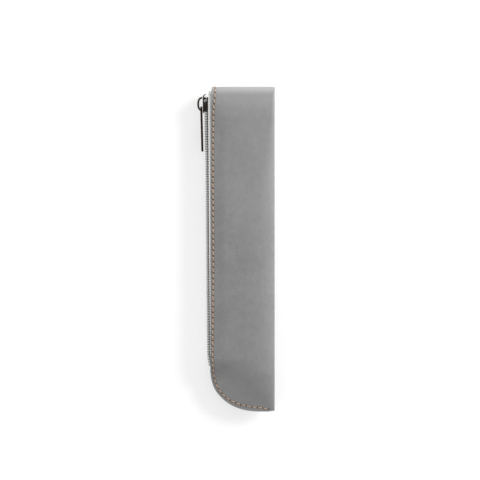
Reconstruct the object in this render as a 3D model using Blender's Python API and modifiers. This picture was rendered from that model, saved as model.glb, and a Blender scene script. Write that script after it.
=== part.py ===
"""A slim zippered pencil case of folded leather, lying on its back.

X runs from the zipped edge to the folded side, Y from the rounded bottom to the top fold, and Z up
through the thickness. The origin is on the flat back, in the middle of the leather.
"""

import math

import bmesh
import bpy
import numpy as np
from mathutils import Matrix, Vector

# Leather shell, in metres
CASE_LENGTH = 0.200
CASE_WIDTH = 0.0396
BODY_THICKNESS = 0.0145
EDGE_THICKNESS = 0.0121
LEATHER = 0.0014
CORNER_WIDTH = 0.0275
CORNER_HEIGHT = 0.028
CORNER_POWER = 2.2
BOTTOM_TAPER = 0.028
MOUTH_TAPER = 0.014
MOUTH_DROP = 0.009
EDGE_TAPER = 0.010
TOP_TAPER = 0.014
SIDE_WIDTH = 0.014
TOP_SIDE_RADIUS = 0.0016
SIDE_BLEND = 0.055
FLAP_LENGTH = 0.014
FOLD_INSET = 0.0010
SIDE_TOP_DROP = 0.0003
CORNER_NIP = 0.0012

# Stitching
STITCH_PITCH = 0.0035
STITCH_INSET = 0.0018
STITCH_END = 0.0039
THREAD = 0.0006
THREAD_WAVE = 0.00012

# Zip tapes, coil rows and their sewing thread
TAPE = 0.00045
TAPE_REACH = 0.0098
TAPE_EDGE = 0.00035
TAPE_TURN = 0.0013
TAPE_PROUD_TOP = 0.00153
TAPE_PROUD_END = 0.00015
ZIP_BEND = 0.010
ZIP_DIP = 0.0011
CHAIN_WIDTH = 0.0050
COIL_THICKNESS = 0.0018
COIL_SPINE = 0.0010
COIL_PITCH = 0.00154
COIL_TOOTH = 0.0005
COIL_OVERLAP = 0.00045
COIL_TOP_MARGIN = 0.0011
COIL_THREAD = 0.00036

# Slider
SLIDER_LENGTH = 0.0116
SLIDER_TOP_MARGIN = 0.0044
TOP_PLATE = 0.0008
BASE_PLATE = 0.00065
FLANGE = 0.00075
FLANGE_LENGTH = 0.0064
WEDGE_LENGTH = 0.0013
WEDGE_WIDTH = 0.0009
WEDGE_SETBACK = 0.0020
NOSE_LENGTH = 0.0018
NOSE_DROP = 0.0015
NOSE_CURL = 2.2
NOSE_WIDTH = 0.0018
NOSE_CURVE = 2.2
TAIL_ROUND = 0.0010
HEAD_ROUND = 0.0007
BASE_SETBACK = 0.0006
BASE_ROUND = 0.0009
METAL_EDGE = 0.00018
EDGE_SEGMENTS = 2
EDGE_ANGLE = math.radians(40)
HEAD_EXTRA = 0.0002
SPREAD_SLOPE = 0.27

# Bridge on the slider, and the pull that hangs on it
BRIDGE_LENGTH = 0.0078
BRIDGE_BACK = 0.00045
BRIDGE_RISE = 0.00285
BRIDGE_WIRE = 0.0012
BRIDGE_POWER = 2.35
BRIDGE_STEPS = 28
WIRE_SIDES = 12
PULL_LENGTH = 0.0278
PULL_THICKNESS = 0.0013
PULL_BAR = 0.0009
PULL_EYE_WIDTH = 0.0035
PULL_EYE_LENGTH = 0.0044
PULL_NECK = 0.0062
PULL_WIDTH = 0.0048
PULL_SHOULDER = 0.0012
PULL_WAIST = 0.0003
PULL_ROUND = 0.0009
EYE_ROUND = 0.0006
PULL_EDGE = 0.0002
PULL_PLAY = 0.0008
PULL_LEAN = math.radians(1.0)

# Clearance between pieces that touch on the real case
GAP = 0.0003

# Edges and levels that follow from the sizes above
LEFT = -CASE_WIDTH / 2
RIGHT = CASE_WIDTH / 2
BOTTOM = -CASE_LENGTH / 2
TOP = CASE_LENGTH / 2
MID_Z = BODY_THICKNESS / 2
BODY_HALF = BODY_THICKNESS / 2
EDGE_HALF = EDGE_THICKNESS / 2
SEAM_HALF = LEATHER + GAP / 2
CORNER_X = LEFT + CORNER_WIDTH
CORNER_Y = BOTTOM + CORNER_HEIGHT
MOUTH_END = CORNER_Y - MOUTH_DROP
FLAP_STEP = LEATHER + GAP
FOLD_Y = TOP - (EDGE_HALF - FLAP_STEP / 2)
ZIP_END = CORNER_Y
SLIDER_TOP = TOP - SLIDER_TOP_MARGIN
SLIDER_Y = SLIDER_TOP - SLIDER_LENGTH / 2
ZIP_TOP = SLIDER_TOP - COIL_TOP_MARGIN
CHAIN_SLOPE = (TAPE_PROUD_END - TAPE_PROUD_TOP) / (ZIP_TOP - ZIP_END)
CHAIN_ANGLE = -math.atan(CHAIN_SLOPE)
MOUTH_HALF = EDGE_HALF - LEATHER
COIL_OUT = GAP + COIL_THICKNESS
PLATE_UNDER = COIL_OUT + GAP
PLATE_OUT = PLATE_UNDER + TOP_PLATE
BASE_TOP = -TAPE - GAP
BASE_UNDER = BASE_TOP - BASE_PLATE
BASE_HALF = MOUTH_HALF - 2 * GAP - TAPE
THREAD_OUT = CHAIN_WIDTH / 2 + GAP + COIL_THREAD / 2
FLANGE_IN = CHAIN_WIDTH / 2 + 2 * GAP + COIL_THREAD
TAIL_HALF = FLANGE_IN + FLANGE
HEAD_HALF = TAIL_HALF + HEAD_EXTRA
SPREAD_START = -SLIDER_LENGTH / 20
PULL_SWEEP = math.hypot(PULL_BAR / 2 - PULL_EDGE / 2, PULL_THICKNESS / 2 - PULL_EDGE / 2)
PULL_AXIS_OUT = PLATE_OUT + PULL_SWEEP + GAP
BRIDGE_TAIL = -BRIDGE_BACK - BRIDGE_LENGTH / 2
PULL_AXIS_ALONG = BRIDGE_TAIL + BRIDGE_WIRE / 2 + PULL_SWEEP + PULL_PLAY
EYE_HALF = (BRIDGE_WIRE + PULL_PLAY) / 2

# How finely the curved stretches are divided, and the least width of the last front column
COLUMN_ROOM = 0.0010
CORNER_STEPS = 10
SIDE_STEPS = 5
FOLD_STEPS = 8
BOTTOM_ROWS = 9
MOUTH_ROWS = 3
MIDDLE_ROWS = 4
UPPER_ROWS = 7
FLAP_ROWS = 3
BEND_STEPS = 6


def clear_scene():
    for obj in list(bpy.data.objects):
        bpy.data.objects.remove(obj, do_unlink=True)


def new_collection(name):
    collection = bpy.data.collections.new(name)
    bpy.context.scene.collection.children.link(collection)
    return collection


def material(name, colour, roughness, metallic=0.0):
    made = bpy.data.materials.new(name)
    made.use_nodes = True
    shader = made.node_tree.nodes["Principled BSDF"]
    shader.inputs["Base Color"].default_value = (*colour, 1.0)
    shader.inputs["Roughness"].default_value = roughness
    shader.inputs["Metallic"].default_value = metallic
    return made


def add_object(name, data, collection, finish, parent=None):
    obj = bpy.data.objects.new(name, data)
    collection.objects.link(obj)
    data.materials.append(finish)
    obj.parent = parent
    return obj


def add_empty(name, collection, matrix, parent=None):
    empty = bpy.data.objects.new(name, None)
    empty.empty_display_size = 0.005
    collection.objects.link(empty)
    empty.parent = parent
    empty.matrix_local = matrix
    return empty


def as_cutter(obj):
    obj.hide_render = True
    obj.display_type = "WIRE"
    return obj


def join_solid(obj, other):
    joined = obj.modifiers.new(other.name, "BOOLEAN")
    joined.operation = "UNION"
    joined.solver = "EXACT"
    joined.object = as_cutter(other)


def thicken(obj, thickness, offset):
    wall = obj.modifiers.new("thickness", "SOLIDIFY")
    wall.thickness = thickness
    wall.offset = offset
    wall.use_even_offset = True


def smooth(t):
    t = np.clip(t, 0.0, 1.0)
    return t * t * (3.0 - 2.0 * t)


def stretch(start, stop, steps):
    return np.linspace(start, stop, steps + 1)[1:]


def half_thickness(x, y):
    """Distance from the middle plane to the outer face of a panel."""
    swell = smooth((x - LEFT) / EDGE_TAPER) * smooth((FOLD_Y - y) / TOP_TAPER)
    full = EDGE_HALF + (BODY_HALF - EDGE_HALF) * swell
    across = np.clip((CORNER_X - x) / CORNER_WIDTH, 0.0, None)
    down = np.clip((CORNER_Y - y) / CORNER_HEIGHT, 0.0, None)
    inside = 1.0 - (across**CORNER_POWER + down**CORNER_POWER) ** (1 / CORNER_POWER)
    parted = smooth(inside * CORNER_HEIGHT / BOTTOM_TAPER)
    mouth = smooth((y - MOUTH_END) / MOUTH_TAPER)
    opened = 1.0 - (1.0 - parted) * (1.0 - mouth)
    return SEAM_HALF + (full - SEAM_HALF) * opened


def panel_slopes(x, y):
    step = 0.0002
    slope_x = (half_thickness(x + step, y) - half_thickness(x - step, y)) / (2 * step)
    slope_y = (half_thickness(x, y + step) - half_thickness(x, y - step)) / (2 * step)
    return slope_x, slope_y


def below_panel(x, y, depth):
    """Height of a face that lies at this depth under the outer face of a sloping panel."""
    slope_x, slope_y = panel_slopes(x, y)
    return half_thickness(x, y) - depth * np.sqrt(1 + slope_x**2 + slope_y**2)


def corner_point(angle, inset=0.0):
    """Point of the rounded bottom corner, on a superellipse that an inset shrinks."""
    x = CORNER_X - (CORNER_WIDTH - inset) * math.cos(angle) ** (2 / CORNER_POWER)
    y = CORNER_Y - (CORNER_HEIGHT - inset) * math.sin(angle) ** (2 / CORNER_POWER)
    return x, y


def side_profile(y):
    """The folded side at one height along the case: steps out from the panel, and heights.

    It is half an ellipse that turns into a box with rounded corners towards the top fold.
    """
    half = half_thickness(RIGHT, y)
    width = SIDE_WIDTH * half / BODY_HALF
    flat = smooth((y - FOLD_Y + SIDE_BLEND) / SIDE_BLEND)
    out, up = [], []
    for step in range(SIDE_STEPS + 1):
        turn = math.pi / 2 * step / SIDE_STEPS
        nip = math.pi / 2 * min(1.0, step / (SIDE_STEPS - 1))
        square_up = half - TOP_SIDE_RADIUS * (1 - math.cos(nip))
        if step == SIDE_STEPS:
            square_up = 0.0
        out.append((1 - flat) * width * math.sin(turn) + flat * TOP_SIDE_RADIUS * math.sin(nip))
        up.append((1 - flat) * half * math.cos(turn) + flat * square_up)
    back_out = out[-2::-1]
    back_up = [-height for height in up[-2::-1]]
    return np.array(out + back_out), np.array(up + back_up)


def side_start(y):
    """X at which the front panel ends and the folded side begins."""
    return RIGHT - side_profile(y)[0].max()


def row_heights(bottom):
    """Y of each row of a column that starts at the given bottom."""
    opened = MOUTH_END + MOUTH_TAPER
    return np.concatenate(
        (
            [bottom],
            stretch(bottom, CORNER_Y, BOTTOM_ROWS),
            stretch(CORNER_Y, opened, MOUTH_ROWS),
            stretch(opened, FOLD_Y - SIDE_BLEND, MIDDLE_ROWS),
            stretch(FOLD_Y - SIDE_BLEND, FOLD_Y, UPPER_ROWS),
        )
    )


def grid_faces(index):
    """Quads of a grid of vertex numbers, wound to face outwards."""
    faces = []
    for i in range(len(index) - 1):
        for j in range(len(index[0]) - 1):
            faces.append((index[i][j], index[i + 1][j], index[i + 1][j + 1], index[i][j + 1]))
    return faces


def smooth_mesh(name, points, faces):
    """Mesh of the faces, with points at one place welded."""
    mesh = bpy.data.meshes.new(name)
    mesh.from_pydata(points, [], faces)
    shape = bmesh.new()
    shape.from_mesh(mesh)
    bmesh.ops.remove_doubles(shape, verts=shape.verts, dist=1e-7)
    shape.to_mesh(mesh)
    shape.free()
    mesh.shade_smooth()
    return mesh


def shell_columns():
    """Columns of points for the front panel, the folded side and the back panel."""
    front = []
    for step in range(CORNER_STEPS + 1):
        x, bottom = corner_point(math.pi / 2 * step / CORNER_STEPS)
        y = row_heights(bottom)
        room = np.array([side_start(height) for height in y]) - COLUMN_ROOM - LEFT
        x = LEFT + (x - LEFT) * np.minimum(1.0, room / CORNER_WIDTH)
        front.append(np.stack((x, y, half_thickness(x, y)), axis=1))
    y = row_heights(BOTTOM)
    profiles = [side_profile(height) for height in y]
    panel_end = np.array([side_start(height) for height in y])
    middle = (front[-1][:, 0] + panel_end) / 2
    front.append(np.stack((middle, y, half_thickness(middle, y)), axis=1))
    side = []
    for k in range(2 * SIDE_STEPS + 1):
        out = np.array([profile[0][k] for profile in profiles])
        up = np.array([profile[1][k] for profile in profiles])
        lift = CORNER_NIP * out[0] / profiles[0][0].max()
        heights = row_heights(BOTTOM + lift)
        side.append(np.stack((panel_end + out, heights, up), axis=1))
    back = [column * (1, 1, -1) for column in reversed(front)]
    return front, side, back


def build_leather(collection, finish):
    front, side, back = shell_columns()
    columns = front + side + back
    rows = len(columns[0])
    points = [tuple(point) for column in columns for point in column]
    index = [[c * rows + r for r in range(rows)] for c in range(len(columns))]
    faces = grid_faces(index)

    def add_patch(first_column, last_column, more_rows):
        patch = [[index[c][-1]] for c in range(first_column, last_column + 1)]
        for row in more_rows:
            for column, point in zip(patch, row):
                column.append(len(points))
                points.append(tuple(point))
        faces.extend(grid_faces(patch))

    front_count = len(front) + 1
    edge_row = np.array([columns[c][-1] for c in range(front_count)])
    x_edge, half_edge = edge_row[:, 0], edge_row[:, 2]
    share = (x_edge - LEFT) / (x_edge[-1] - LEFT)
    fold_rows = []
    for step in range(1, FOLD_STEPS + 1):
        turn = math.pi * step / FOLD_STEPS
        x = x_edge + FOLD_INSET * math.sin(turn) * (1 - share) - GAP * share
        y = np.full_like(x, FOLD_Y + (TOP - FOLD_Y) * math.sin(turn))
        z = FLAP_STEP / 2 + (half_edge - FLAP_STEP / 2) * math.cos(turn)
        fold_rows.append(np.stack((x, y, z), axis=1))
    for step in range(1, FLAP_ROWS + 1):
        x = x_edge - GAP * share
        y = np.full_like(x, FOLD_Y - FLAP_LENGTH * step / FLAP_ROWS)
        z = FLAP_STEP - half_thickness(x, y)
        fold_rows.append(np.stack((x, y, z), axis=1))
    add_patch(0, front_count - 1, fold_rows)

    side_top = TOP - FOLD_Y - SIDE_TOP_DROP
    side_edge = np.array([columns[len(front) + k][-1] for k in range(len(side))])
    past_middle = np.clip(np.arange(len(side)) / SIDE_STEPS - 1, 0, None)
    rise = side_top * np.cos(math.radians(75) * past_middle)
    side_rows = []
    for step in (0.5, 1.0):
        lifted = side_edge.copy()
        lifted[:, 1] += rise * step
        side_rows.append(lifted)
    add_patch(len(front), len(front) + len(side) - 1, side_rows)

    mesh = smooth_mesh("leather_shell", points, faces)
    shell = add_object("leather_shell", mesh, collection, finish)
    shell.location.z = MID_Z
    thicken(shell, LEATHER, -1.0)
    return shell


def chain_dip(y):
    """How far the end of the chain has turned in towards the closed seam."""
    return ZIP_DIP * max(0.0, (ZIP_END + ZIP_BEND - y) / ZIP_BEND) ** 2


def chain_x(y):
    """X of the outer face of the tapes: straight above the bend at the end of the zip."""
    return LEFT - TAPE_PROUD_END + CHAIN_SLOPE * (y - ZIP_END) + chain_dip(y)


def row_spread(y):
    """How far each coil row has moved aside for the wedge in the slider's head."""
    return SPREAD_SLOPE * max(0.0, y - SLIDER_Y - SPREAD_START)


def build_tape(name, side, leg_top, collection, finish):
    """One tape half: a web under the coil row, a bend, and a leg along the inside of its panel."""
    turn_start = SLIDER_TOP + GAP / 2
    heights = list(np.linspace(ZIP_END, ZIP_END + ZIP_BEND, BEND_STEPS + 1))
    heights += [MOUTH_END + MOUTH_TAPER, 0.0, leg_top, SLIDER_Y + SPREAD_START]
    heights += [SLIDER_TOP - SLIDER_LENGTH / 4, turn_start]
    heights = sorted({round(y, 7) for y in heights})
    leg_depth = LEATHER + GAP + TAPE / 2
    points, index = [], []
    for y in heights:
        web_x = chain_x(y) + TAPE / 2
        leg_x = web_x + 0.0011
        turned = below_panel(web_x, y, leg_depth)
        web = turned - TAPE
        edge = TAPE_EDGE + row_spread(y)
        row = [(web_x, edge), (web_x, (edge + web) / 2), (web_x, web)]
        row += [(web_x + 0.0004, web + 0.7 * TAPE), (leg_x, below_panel(leg_x, y, leg_depth))]
        for share in (1 / 3, 2 / 3, 1.0):
            x = leg_x + (LEFT + TAPE_REACH - leg_x) * share
            row.append((x, below_panel(x, y, leg_depth)))
        if y > leg_top:
            row = row[:5]
        index.append(range(len(points), len(points) + len(row)))
        points += [(x, y, side * w) for x, w in row]
    web_x = chain_x(turn_start) + TAPE / 2
    for degrees in (30, 60, 85):
        turn = math.radians(degrees)
        index.append(range(len(points), len(points) + 3))
        for column in range(3):
            width = points[index[-2][column]][2]
            x = web_x + TAPE_TURN * (1 - math.cos(turn))
            points.append((x, turn_start + TAPE_TURN * math.sin(turn), width))
    faces = []
    for low, high in zip(index, index[1:]):
        for k in range(min(len(low), len(high)) - 1):
            quad = (low[k], high[k], high[k + 1], low[k + 1])
            faces.append(quad if side > 0 else quad[::-1])
    mesh = smooth_mesh(name, points, faces)
    tape = add_object(name, mesh, collection, finish)
    tape.location.z = MID_Z
    thicken(tape, TAPE, 0.0)
    return tape


def zip_matrix():
    """Frame on the chain: X into the case, Y up the chain from the slider, Z through the case."""
    origin = Vector((chain_x(SLIDER_Y), SLIDER_Y, MID_Z))
    return Matrix.Translation(origin) @ Matrix.Rotation(CHAIN_ANGLE, 4, "Z")


def tube(name, path, diameter, sides, collection, finish, parent=None):
    curve = bpy.data.curves.new(name, "CURVE")
    curve.dimensions = "3D"
    curve.bevel_depth = diameter / 2
    curve.bevel_resolution = sides // 2 - 2
    curve.use_fill_caps = True
    spline = curve.splines.new("POLY")
    spline.points.add(len(path) - 1)
    for point, place in zip(spline.points, path):
        point.co = (*place, 1.0)
    spline.use_smooth = True
    return add_object(name, curve, collection, finish, parent)


def build_coil_row(name, side, phase, collection, finish):
    """One row of the chain: a spine with a tooth for each turn of the coil.

    The bent end has an outline for each tooth, and the straight rest is one outline.
    """
    half = CHAIN_WIDTH / 2
    root = half - COIL_SPINE
    start = ZIP_END - SLIDER_Y
    stop = ZIP_TOP - SLIDER_Y
    outlines, outline = [], [(start, half), (start, root)]
    low = start + COIL_PITCH * (0.6 + phase) - COIL_TOOTH / 2
    while low + COIL_TOOTH < stop - GAP:
        high = low + COIL_TOOTH
        outline += [(low, root), (low, -COIL_OVERLAP), (high, -COIL_OVERLAP), (high, root)]
        if low < start + ZIP_BEND:
            cut = low + (COIL_TOOTH + COIL_PITCH) / 2
            outlines.append(outline + [(cut, root), (cut, half)])
            outline = [(cut, half), (cut, root)]
        low += COIL_PITCH
    outlines.append(outline + [(stop, root), (stop, half), (SPREAD_START, half)])
    for k, outline in enumerate(outlines):
        outlines[k] = [(a, side * (w + row_spread(SLIDER_Y + a))) for a, w in outline]
    row = prism(name, outlines, GAP, COIL_OUT, collection, finish)
    for vertex in row.data.vertices:
        vertex.co.x += chain_dip(SLIDER_Y + vertex.co.y)
    row.matrix_world = zip_matrix()
    return row


def build_coil_thread(name, side, collection, finish):
    height = GAP + COIL_THREAD / 2
    path = []
    bend = np.linspace(ZIP_END, ZIP_END + ZIP_BEND, BEND_STEPS + 1)
    for y in [*bend, SLIDER_Y + SPREAD_START, ZIP_TOP]:
        across = side * (THREAD_OUT + row_spread(y))
        path.append((chain_dip(y) - height, y - SLIDER_Y, across))
    thread = tube(name, path, COIL_THREAD, 6, collection, finish)
    thread.matrix_world = zip_matrix()
    return thread


def seam_line(side):
    """The stitch line of one panel, from the top fold round to the end of the bottom seam."""
    x_left = LEFT + STITCH_INSET
    dense = []
    if side > 0:
        centre = FLAP_STEP / 2
        radius_y = TOP - FOLD_Y + GAP + THREAD / 2
        radius_z = half_thickness(x_left, FOLD_Y) - centre + GAP + THREAD / 2
        for degrees in range(130, 0, -10):
            turn = math.radians(degrees)
            inset = FOLD_INSET * math.sin(turn)
            y = FOLD_Y + radius_y * math.sin(turn)
            dense.append((x_left + inset, y, centre + radius_z * math.cos(turn)))
    flat = [(x_left, y) for y in np.linspace(FOLD_Y - GAP, CORNER_Y, 60)]
    for step in range(1, 40):
        flat.append(corner_point(math.pi / 2 * step / 40, STITCH_INSET))
    flat += [(x, BOTTOM + STITCH_INSET) for x in np.linspace(CORNER_X, RIGHT - STITCH_END, 8)]
    for x, y in flat:
        slope_x, slope_y = panel_slopes(x, y)
        normal = Vector((-slope_x, -slope_y, 1.0)).normalized()
        place = Vector((x, y, half_thickness(x, y))) + normal * (GAP + THREAD / 2)
        dense.append((place.x, place.y, side * place.z))
    return np.array(dense)


def stitched(line, up):
    """Points twice a stitch along a line, dipping towards each needle hole."""
    steps = np.linalg.norm(np.diff(line, axis=0), axis=1)
    travel = np.concatenate(([0.0], np.cumsum(steps)))
    count = 2 * round(travel[-1] / STITCH_PITCH)
    at = np.linspace(0.0, travel[-1], count + 1)
    path = np.stack([np.interp(at, travel, line[:, k]) for k in range(3)], axis=1)
    path[1::2] += np.array(up) * THREAD_WAVE
    return path


def build_stitching(collection, finish):
    for name, side in (("stitch_thread_front", 1), ("stitch_thread_back", -1)):
        row = tube(name, stitched(seam_line(side), (0, 0, side)), THREAD, 4, collection, finish)
        row.location.z = MID_Z
    y = FOLD_Y - STITCH_INSET
    stop = RIGHT - TOP_SIDE_RADIUS - STITCH_INSET
    x = np.linspace(LEFT + 2 * STITCH_INSET, stop, 30)
    drop = half_thickness(x, y) + GAP + THREAD / 2
    line = np.stack((x, np.full_like(x, y), -drop), axis=1)
    row = tube("flap_stitch_thread", stitched(line, (0, 0, -1)), THREAD, 4, collection, finish)
    row.location.z = MID_Z


def rounded(outline, reach):
    """The closed outline with each corner turned into a curve that reaches this far along it."""
    points = [Vector(point) for point in outline]
    curved = []
    for k, corner in enumerate(points):
        before, after = points[k - 1] - corner, points[(k + 1) % len(points)] - corner
        if before.length < reach or after.length < reach:
            curved.append(corner)
            continue
        start = corner + before.normalized() * min(reach, 0.45 * before.length)
        stop = corner + after.normalized() * min(reach, 0.45 * after.length)
        for t in (0.0, 0.25, 0.5, 0.75, 1.0):
            curved.append((1 - t) ** 2 * start + 2 * t * (1 - t) * corner + t * t * stop)
    return [(point.x, point.y) for point in curved]


def prism(name, outlines, low, high, collection, finish, parent=None):
    """Plate between two heights out of the tape, from outlines of (along, across) points.

    Outlines that share corners are joined there.
    """
    shape = bmesh.new()
    corners = {}
    for outline in outlines:
        for along, across in outline:
            if (along, across) not in corners:
                corners[along, across] = shape.verts.new((-low, along, across))
        shape.faces.new([corners[point] for point in outline])
    grown = bmesh.ops.extrude_face_region(shape, geom=list(shape.faces))
    top = [item for item in grown["geom"] if isinstance(item, bmesh.types.BMVert)]
    bmesh.ops.translate(shape, verts=top, vec=(low - high, 0.0, 0.0))
    bmesh.ops.recalc_face_normals(shape, faces=shape.faces)
    mesh = bpy.data.meshes.new(name)
    shape.to_mesh(mesh)
    shape.free()
    return add_object(name, mesh, collection, finish, parent)


def mirrored(half):
    """A closed outline from its half at positive widths, front end first."""
    return half + [(along, -across) for along, across in reversed(half)]


def round_edges(obj, width):
    edges = obj.modifiers.new("edges", "BEVEL")
    edges.width = width
    edges.segments = EDGE_SEGMENTS
    edges.limit_method = "ANGLE"
    edges.angle_limit = EDGE_ANGLE
    obj.data.shade_smooth()


def top_plate(front, collection, finish, parent):
    """The slider's outer plate: narrows at both ends, and curls down over the head's end."""
    tip = NOSE_WIDTH / 2
    neck = front - NOSE_LENGTH
    brow = HEAD_HALF - HEAD_ROUND
    stations = [
        (-front, TAIL_HALF - TAIL_ROUND),
        (-front + TAIL_ROUND / 4, TAIL_HALF - TAIL_ROUND / 3),
        (-front + TAIL_ROUND, TAIL_HALF),
        (0.0, TAIL_HALF),
        (neck - 2 * HEAD_ROUND, HEAD_HALF),
        (neck - HEAD_ROUND, HEAD_HALF - HEAD_ROUND / 4),
    ]
    for share in (0.0, 0.2, 0.4, 0.6, 0.8, 1.0):
        half = tip + (brow - tip) * (1 - share) ** NOSE_CURVE
        stations.append((neck + NOSE_LENGTH * share, half))
    points, index = [], []
    for along, half in stations:
        drop = NOSE_DROP * max(0.0, (along - neck) / NOSE_LENGTH) ** NOSE_CURL
        low, high = PLATE_UNDER - drop, PLATE_OUT - drop
        index.append(range(len(points), len(points) + 4))
        points += [(-low, along, half), (-high, along, half)]
        points += [(-high, along, -half), (-low, along, -half)]
    faces = [tuple(index[0]), tuple(reversed(index[-1]))]
    for low, high in zip(index, index[1:]):
        for k in range(4):
            faces.append((low[k], high[k], high[(k + 1) % 4], low[(k + 1) % 4]))
    mesh = bpy.data.meshes.new("slider_body")
    mesh.from_pydata(points, [], faces)
    shape = bmesh.new()
    shape.from_mesh(mesh)
    bmesh.ops.recalc_face_normals(shape, faces=shape.faces)
    shape.to_mesh(mesh)
    shape.free()
    return add_object("slider_body", mesh, collection, finish, parent)


def build_slider(collection, cutters, finish, parent):
    front = SLIDER_LENGTH / 2
    body = top_plate(front, collection, finish, parent)
    nose = front - BASE_SETBACK
    half_base = [(nose, BASE_HALF - BASE_ROUND), (nose - 2 * BASE_SETBACK, BASE_HALF)]
    base = rounded(mirrored(half_base + [(-front, BASE_HALF)]), HEAD_ROUND)
    plate_low = prism("base_plate", [base], BASE_UNDER, BASE_TOP, cutters, finish, parent)
    join_solid(body, plate_low)
    into = TOP_PLATE / 2
    tip = front - WEDGE_SETBACK
    wedge = mirrored([(tip, WEDGE_WIDTH / 2), (tip - WEDGE_LENGTH, GAP / 2)])
    top = PLATE_UNDER + into / 2
    post = prism("wedge", [wedge], BASE_TOP - into, top, cutters, finish, parent)
    join_solid(body, post)
    start, stop = -front + TAIL_ROUND, -front + FLANGE_LENGTH
    for name, side in (("flange_front", 1), ("flange_back", -1)):
        inner, outer = side * FLANGE_IN, side * (TAIL_HALF - 1.5 * METAL_EDGE)
        wall = [(start, inner), (start, outer), (stop, outer), (stop, inner)]
        flange = prism(name, [wall], GAP, PLATE_UNDER + into, cutters, finish, parent)
        join_solid(body, flange)
    round_edges(body, METAL_EDGE)
    return body


def build_bridge(collection, finish, parent):
    """The bow over the slider's plate, seen edge on: half a superellipse of round wire."""
    power = 2 / BRIDGE_POWER
    foot = PLATE_OUT + GAP
    rise = BRIDGE_RISE + PLATE_OUT - foot
    path = []
    for step in range(BRIDGE_STEPS + 1):
        turn = math.pi * step / BRIDGE_STEPS
        along = math.copysign(abs(math.cos(turn)) ** power, math.cos(turn))
        out = math.sin(turn) ** power if 0 < step < BRIDGE_STEPS else 0.0
        path.append((-foot - rise * out, BRIDGE_LENGTH / 2 * along - BRIDGE_BACK, 0.0))
    return tube("slider_bridge", path, BRIDGE_WIRE, WIRE_SIDES, collection, finish, parent)


def build_pull(collection, cutters, finish, parent):
    """The pull, edge on to the case's front: an eye round the bridge, a neck and a flat tab."""
    top = PULL_BAR / 2
    end = top - PULL_LENGTH
    eye = PULL_EYE_WIDTH / 2
    half = PULL_WIDTH / 2
    outline = [
        (top, EYE_HALF),
        (top - PULL_ROUND, eye),
        (top - PULL_EYE_LENGTH, eye),
        (top - PULL_NECK, eye - PULL_WAIST),
        (top - PULL_NECK - PULL_SHOULDER, half),
        (end, half),
    ]
    outline = rounded(mirrored(outline), PULL_ROUND)
    face = PULL_THICKNESS / 2
    tab = prism("pull_tab", [outline], -face, face, collection, finish, parent)
    slot_end = top - PULL_EYE_LENGTH + PULL_BAR
    slot = rounded(mirrored([(-top, EYE_HALF), (slot_end, EYE_HALF)]), EYE_ROUND)
    through = PULL_THICKNESS
    hole = prism("pull_eye_cut", [slot], -through, through, cutters, finish, parent)
    cut = tab.modifiers.new("eye", "BOOLEAN")
    cut.operation = "DIFFERENCE"
    cut.solver = "EXACT"
    cut.object = as_cutter(hole)
    round_edges(tab, PULL_EDGE)
    return tab


def build_case():
    clear_scene()
    parts = new_collection("pencil_case")
    cutters = new_collection("cutters")

    grey_leather = material("grey_leather", (0.24, 0.245, 0.245), 0.55)
    pale_tape = material("pale_tape", (0.60, 0.60, 0.58), 0.85)
    pale_nylon = material("pale_nylon", (0.66, 0.66, 0.65), 0.35)
    grey_sewing = material("grey_sewing", (0.16, 0.16, 0.165), 0.8)
    tan_thread = material("tan_thread", (0.47, 0.33, 0.22), 0.7)
    dark_brass = material("dark_brass", (0.075, 0.065, 0.045), 0.38, 1.0)
    bright_brass = material("worn_brass", (0.11, 0.095, 0.065), 0.34, 1.0)

    build_leather(parts, grey_leather)
    build_tape("zip_tape_front", 1, FOLD_Y - LEATHER / 2, parts, pale_tape)
    build_tape("zip_tape_back", -1, FOLD_Y - FLAP_LENGTH - GAP, parts, pale_tape)
    build_coil_row("coil_row_front", 1, 0.0, parts, pale_nylon)
    build_coil_row("coil_row_back", -1, 0.5, parts, pale_nylon)
    build_coil_thread("coil_thread_front", 1, parts, grey_sewing)
    build_coil_thread("coil_thread_back", -1, parts, grey_sewing)
    build_stitching(parts, tan_thread)

    slider_frame = add_empty("slider_frame", parts, zip_matrix())
    build_slider(parts, cutters, dark_brass, slider_frame)
    build_bridge(parts, bright_brass, slider_frame)
    hinge = Matrix.Translation((-PULL_AXIS_OUT, PULL_AXIS_ALONG, 0.0))
    lean = Matrix.Rotation(PULL_LEAN, 4, "Z")
    pull_frame = add_empty("pull_frame", parts, hinge @ lean, slider_frame)
    build_pull(parts, cutters, bright_brass, pull_frame)


build_case()
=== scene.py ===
import math

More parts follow.
